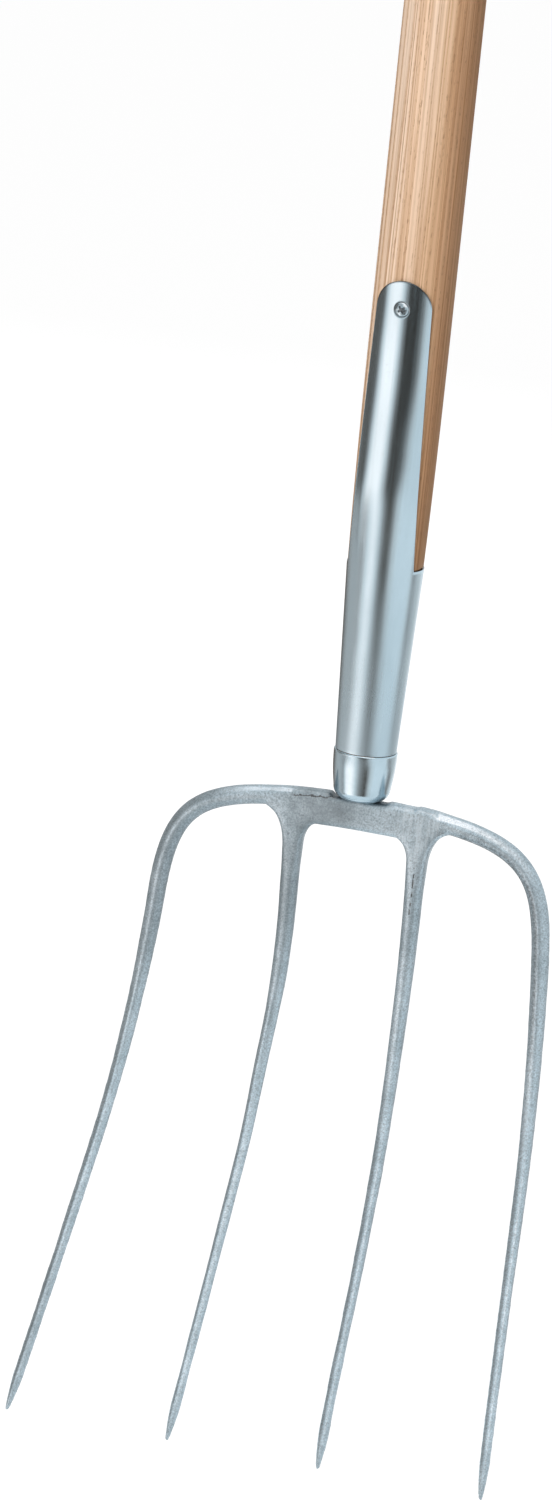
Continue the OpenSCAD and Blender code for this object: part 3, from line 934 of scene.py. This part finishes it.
def scale_and_hollow_shade(g, x, y, z, facing):
    """Scale in pits everywhere, and darker inside the bow and in a mottled band inside its right
    shoulder, partly scale and partly painted shade.
    """
    bow_middle = (0, -8, -100)
    pits = g.noise(g.place(), 800, 3, 0.6)
    spot = g.add("ShaderNodeCombineXYZ", {0: x, 1: y, 2: z}).outputs[0]
    inward = g.vector("NORMALIZE", g.vector("SUBTRACT", bow_middle, spot))
    inside = g.measure("DOT_PRODUCT", inward, facing)
    shoulders = g.remap(z, -150, -95)
    on_left = g.product(shoulders, g.remap(x, -40, -50, 0, 0.8))
    on_right = g.window(x, 40, 50, 76, 88, 1.9)
    # Painted shade, partly scale: darker on faces turned into the bow, most on the right
    hollow_shade = g.product(g.remap(inside, -0.1, 0.6), g.remap(pits, 0.38, 0.58, 0.12, 0.42))
    hollow_shade = g.product(hollow_shade, g.highest(on_left, on_right))
    # Painted shade, partly scale: a mottled dark band inside the right shoulder
    seam = g.product(g.window(inside, 0.1, 0.4, 0.55, 0.85), g.remap(pits, 0.38, 0.58, 0.2, 0.75))
    seam = g.product(seam, g.remap(x, 70, 84), shoulders)
    return g.highest(hollow_shade, seam, g.remap(pits, 0.6, 0.74, 0, 0.5))


def forging_laps(g, x, y, z):
    """Laps on the front: one on the left of the cap, one on the right inner tine."""
    ragged = g.remap(g.noise(g.place(), 260, 4, 0.7), 0.3, 0.7, -1, 1)
    lap_z = g.math("SUBTRACT", z, g.math("MULTIPLY_ADD", x, 0.085, -23.1))
    left = g.mark(g.math("MULTIPLY_ADD", ragged, 1.1, lap_z), 0.55, x, -21, 9)
    lap_x = g.math("SUBTRACT", x, g.math("MULTIPLY_ADD", z, 0.02, 31.1))
    right = g.mark(g.math("MULTIPLY_ADD", ragged, 0.35, lap_x), 0.45, z, -62, 11)
    broken = g.remap(g.noise(g.place((60, 60, 420)), 1, 2), 0.42, 0.5)
    return g.product(g.highest(left, g.product(right, broken)), g.remap(y, -1, -2.5))


def cap_contact_shade(g, z):
    """Painted shade where the cap meets the yoke."""
    axis = g.measure("LENGTH", g.place((1 / MM, 1 / MM, 0)))
    return g.product(g.remap(axis, 17, 12.5, 0, 0.8), g.remap(z, -25.5, -23.5))


def rubbed_parts(g, x, z):
    """The right of the bow and the tines, which are rubbed smoother."""
    bow_right = g.product(g.window(x, 37, 39, 62, 76), g.remap(z, -75, -60), 0.16)
    return g.highest(bow_right, g.remap(z, -100, -150, 0, 0.1))


def galvanised():
    """Dull zinc over forged steel, clouded and speckled, with forging and filing marks, painted
    highlights and shade.
    """
    g = material("galvanised")
    x, y, z = g.millimetres()
    facing = g.facing()
    cloud = g.noise(g.place(), 90, 5, 0.6)
    grain = g.noise(g.place(), 1250, 3, 0.65)
    colour = g.ramp(cloud, (0.3, 0.55, 0.75), ZINC)
    colour = g.tint(colour, g.ramp(grain, (0.34, 0.62), (grey(0.5), WHITE)), 0.8)

    # The tines are brighter than the yoke
    colour = g.tint(colour, g.ramp(g.remap(z, -70, -135), (0, 1), (WHITE, grey(1.14))))

    # Dull zinc, and painted shade on the left of the bow
    dull_and_shade = g.product(dull_and_shaded_parts(g, x, z), g.remap(cloud, 0.3, 0.7, 0.9, 0.45))
    colour = g.blend(dull_and_shade, colour, DULL_ZINC_AND_SHADE)
    # Filed metal, brighter with a painted highlight
    filed = g.product(filed_edges_and_highlights(g, x, z, facing), g.remap(cloud, 0.35, 0.6, 0.15, 0.6))
    colour = g.blend(filed, colour, FILED_ZINC_AND_HIGHLIGHT)
    colour = g.blend(grinding_lines(g, x, z), colour, GROUND_ZINC)
    # Scale and forging laps, with painted shade inside the bow and where the cap meets the yoke
    scale, laps = scale_and_hollow_shade(g, x, y, z, facing), forging_laps(g, x, y, z)
    dark = g.highest(scale, laps, cap_contact_shade(g, z))
    colour = g.blend(dark, colour, SCALE_AND_SHADE)

    height = g.math("ADD", g.product(grain, 0.5), g.product(dark, -0.6))
    rough = g.math("ADD", g.remap(grain, 0.3, 0.7, 0.52, 0.38), g.product(dull_and_shade, 0.08))
    smoother = g.highest(rubbed_parts(g, x, z), g.product(filed, 0.2))
    return g.finish({
        "Base Color": colour,
        "Metallic": 0.85,
        "Roughness": g.math("SUBTRACT", rough, smoother),
        "Normal": g.bump(height, 0.2 * MM, 0.7),
    })


# Studio

def camera_axes():
    """The camera's right, up and backward directions."""
    a, e = CAMERA_AZIMUTH, CAMERA_ELEVATION
    back = Vector((math.sin(a) * math.cos(e), -math.cos(a) * math.cos(e), math.sin(e)))
    right = Vector((math.cos(a), math.sin(a), 0))
    up = back.cross(right)
    c, s = math.cos(CAMERA_ROLL), math.sin(CAMERA_ROLL)
    return right * c + up * s, up * c - right * s, back


def add_camera():
    right, up, back = camera_axes()
    data = bpy.data.cameras.new("camera")
    data.sensor_width = SENSOR
    data.lens = PIXELS_PER_MM * CAMERA_DISTANCE / PHOTO_H * SENSOR
    data.clip_end = 100
    camera = linked("camera", data)
    place = (right * CAMERA_AIM[0] + up * CAMERA_AIM[1] + back * CAMERA_DISTANCE) * MM
    turn = Matrix((right, up, back)).transposed().to_4x4()
    camera.matrix_world = Matrix.Translation(place + Vector((0, 0, SEAM_Z))) @ turn
    bpy.context.scene.camera = camera


def studio_way(azimuth, elevation):
    """Direction from the object, in degrees to the right of the camera and above the horizon."""
    a = CAMERA_AZIMUTH + math.radians(azimuth)
    e = math.radians(elevation)
    return Vector((math.sin(a) * math.cos(e), -math.cos(a) * math.cos(e), math.sin(e)))


def softbox(name, azimuth, radiance):
    """A large lamp that lights matt surfaces, and that reflections don't show."""
    data = bpy.data.lights.new(name, "AREA")
    data.size = LAMP_SIZE
    data.energy = radiance * math.pi * LAMP_SIZE**2
    obj = linked(name, data)
    way = studio_way(azimuth, LAMP_ELEVATION)
    obj.location = LAMP_AIM + way * LAMP_DISTANCE
    obj.rotation_euler = way.to_track_quat("Z", "Y").to_euler()
    obj.visible_camera = False
    obj.visible_glossy = False


def seen_rays(g):
    """1 for rays from the camera and from shiny or clear surfaces."""
    path = g.add("ShaderNodeLightPath").outputs
    return g.highest(path["Is Camera Ray"], path["Is Glossy Ray"], path["Is Transmission Ray"])


def add_world():
    """White to the camera and in reflections; matt surfaces get more light from the left."""
    world = bpy.data.worlds.new("studio")
    g = Graph(world)
    way = g.add("ShaderNodeTexCoord").outputs["Generated"]
    side = g.measure("DOT_PRODUCT", way, studio_way(90, 0))
    ambient = g.remap(side, -1, 1, AMBIENT_LEFT, AMBIENT_RIGHT)
    level = g.add("ShaderNodeMix", {0: seen_rays(g), 2: ambient, 3: 1}).outputs[0]
    g.set(g.nodes["Background"], "Color", (1, 1, 1, 1))
    g.set(g.nodes["Background"], "Strength", level)
    bpy.context.scene.world = world


def add_floor():
    """A pale floor that stays white to the camera and keeps a soft shadow."""
    mesh = bpy.data.meshes.new("floor")
    sides = ((-1, -1), (1, -1), (1, 1), (-1, 1))
    corners = [(FLOOR_REACH * x, FLOOR_REACH * y, FLOOR_Z) for x, y in sides]
    mesh.from_pydata(corners, [], [(0, 1, 2, 3)])
    g = material("floor")
    matt = g.add("ShaderNodeBsdfDiffuse", {"Color": FLOOR_COLOUR}).outputs[0]
    glow = g.add("ShaderNodeEmission", {"Strength": FLOOR_GLOW}).outputs[0]
    share = g.product(seen_rays(g), FLOOR_GLOW_SHARE)
    mesh.materials.append(g.show(g.add("ShaderNodeMixShader", {0: share, 1: matt, 2: glow})))
    floor = linked("floor", mesh)


@cache
def card_material():
    """Light of the card's own level at each point, made once for all cards."""
    g = material("studio_card")
    level = g.attribute("level")
    tint = g.ramp(g.product(level, 0.5), *zip(*CARD_TINTS))
    return g.show(g.add("ShaderNodeEmission", {"Color": tint, "Strength": level}))


def card(name, columns):
    """A curved card that only reflections show, its level running smoothly between columns.

    A column is two ends, each (azimuth, distance, height above the floor, level).
    """
    ends = np.array(columns, float)
    whole = np.arange(len(ends))
    fine = np.linspace(0, whole[-1], CARD_STEPS * whole[-1] + 1)
    rows = [[np.interp(fine, whole, ends[:, row, part]) for part in range(4)] for row in range(2)]
    azimuth, distance, height, level = np.concatenate(rows, axis=1)
    turn = CAMERA_AZIMUTH + np.radians(azimuth)
    x, y = distance * np.sin(turn), -distance * np.cos(turn)
    points = np.stack([x, y, FLOOR_Z + height], axis=-1)
    mesh = bpy.data.meshes.new(name)
    mesh.from_pydata(points.tolist(), [], grid_faces(2, len(fine)))
    keep_values(mesh, "level", level)
    mesh.materials.append(card_material())
    obj = linked(name, mesh)
    obj.visible_camera = False
    obj.visible_diffuse = False
    obj.visible_shadow = False


def flat_card(name, stops, near, far, height=CARD_LIFT):
    """A level card, from stops of (azimuth, level or levels at the near and far edges)."""
    columns = []
    for azimuth, *levels in stops:
        columns.append(((azimuth, near, height, levels[0]), (azimuth, far, height, levels[-1])))
    card(name, columns)


def wall_card(name, stops, low, high, distance=WALL):
    """A standing card, from stops of (azimuth or azimuths below and above, level)."""
    columns = []
    for *turns, level in stops:
        columns.append(((turns[0], distance, low, level), (turns[-1], distance, high, level)))
    card(name, columns)


def add_cards():
    """The cap sees the near ring of the floor, the socket the far ring and the strap the wall."""
    far = FAR_LEFT + FAR_FRONT
    flat_card("near_floor", NEAR_LEFT + NEAR_FRONT, CARD_NEAR, RING)
    flat_card("far_floor", far, RING, OUTER_RING)
    flat_card("outer_floor", [(stop[0], stop[-1]) for stop in far], OUTER_RING, WALL)
    flat_card("near_right", NEAR_RIGHT, CARD_NEAR, RING)
    flat_card("far_right", FAR_RIGHT, RING, WALL)
    wall_card("wall", STRAP_WALL, 0, WALL_MIDDLE)
    wall_card("wall_top", [stop[1:] for stop in STRAP_WALL], WALL_MIDDLE, WALL_TOP)
    wall_card("dark_left", DARK_LEFT, WALL_TOP, DARK_TOP)
    wall_card("wall_foot", FOOT, 0, FOOT_TOP, WALL_FOOT)
    wall_card("dark_back", DARK_BACK, 0, WALL_TOP)
    flat_card("back_floor", BACK, CARD_NEAR, WALL)
    wall_card("high_light", HIGH_LIGHT, HIGH_START, OVER_H, HIGH_CARD)
    flat_card("over_light", OVER_LIGHT, OVER_NEAR, HIGH_CARD, OVER_H)


PIECES = (
    (shaft, ash_wood, "handle", "wood"),
    (strap_sheet, plated_sheet, "strapped_socket", "socket_steel"),
    (screw, screw_steel, "strap_screw", "screw_steel"),
    (thimble, polished_cap, "end_cap", "cap_steel"),
    (forged_head, galvanised, "fork_head", "head_steel"),
)

for make_shape, make_material, node, slot in PIECES:
    piece = make_shape()
    piece.data.materials.append(make_material())
    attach(piece, "root")
    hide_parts(node)

add_camera()
add_world()
add_floor()
softbox("key", KEY_AZIMUTH, KEY_RADIANCE)
softbox("fill", FILL_AZIMUTH, FILL_RADIANCE)
add_cards()
bpy.context.scene.view_settings.view_transform = "Standard"
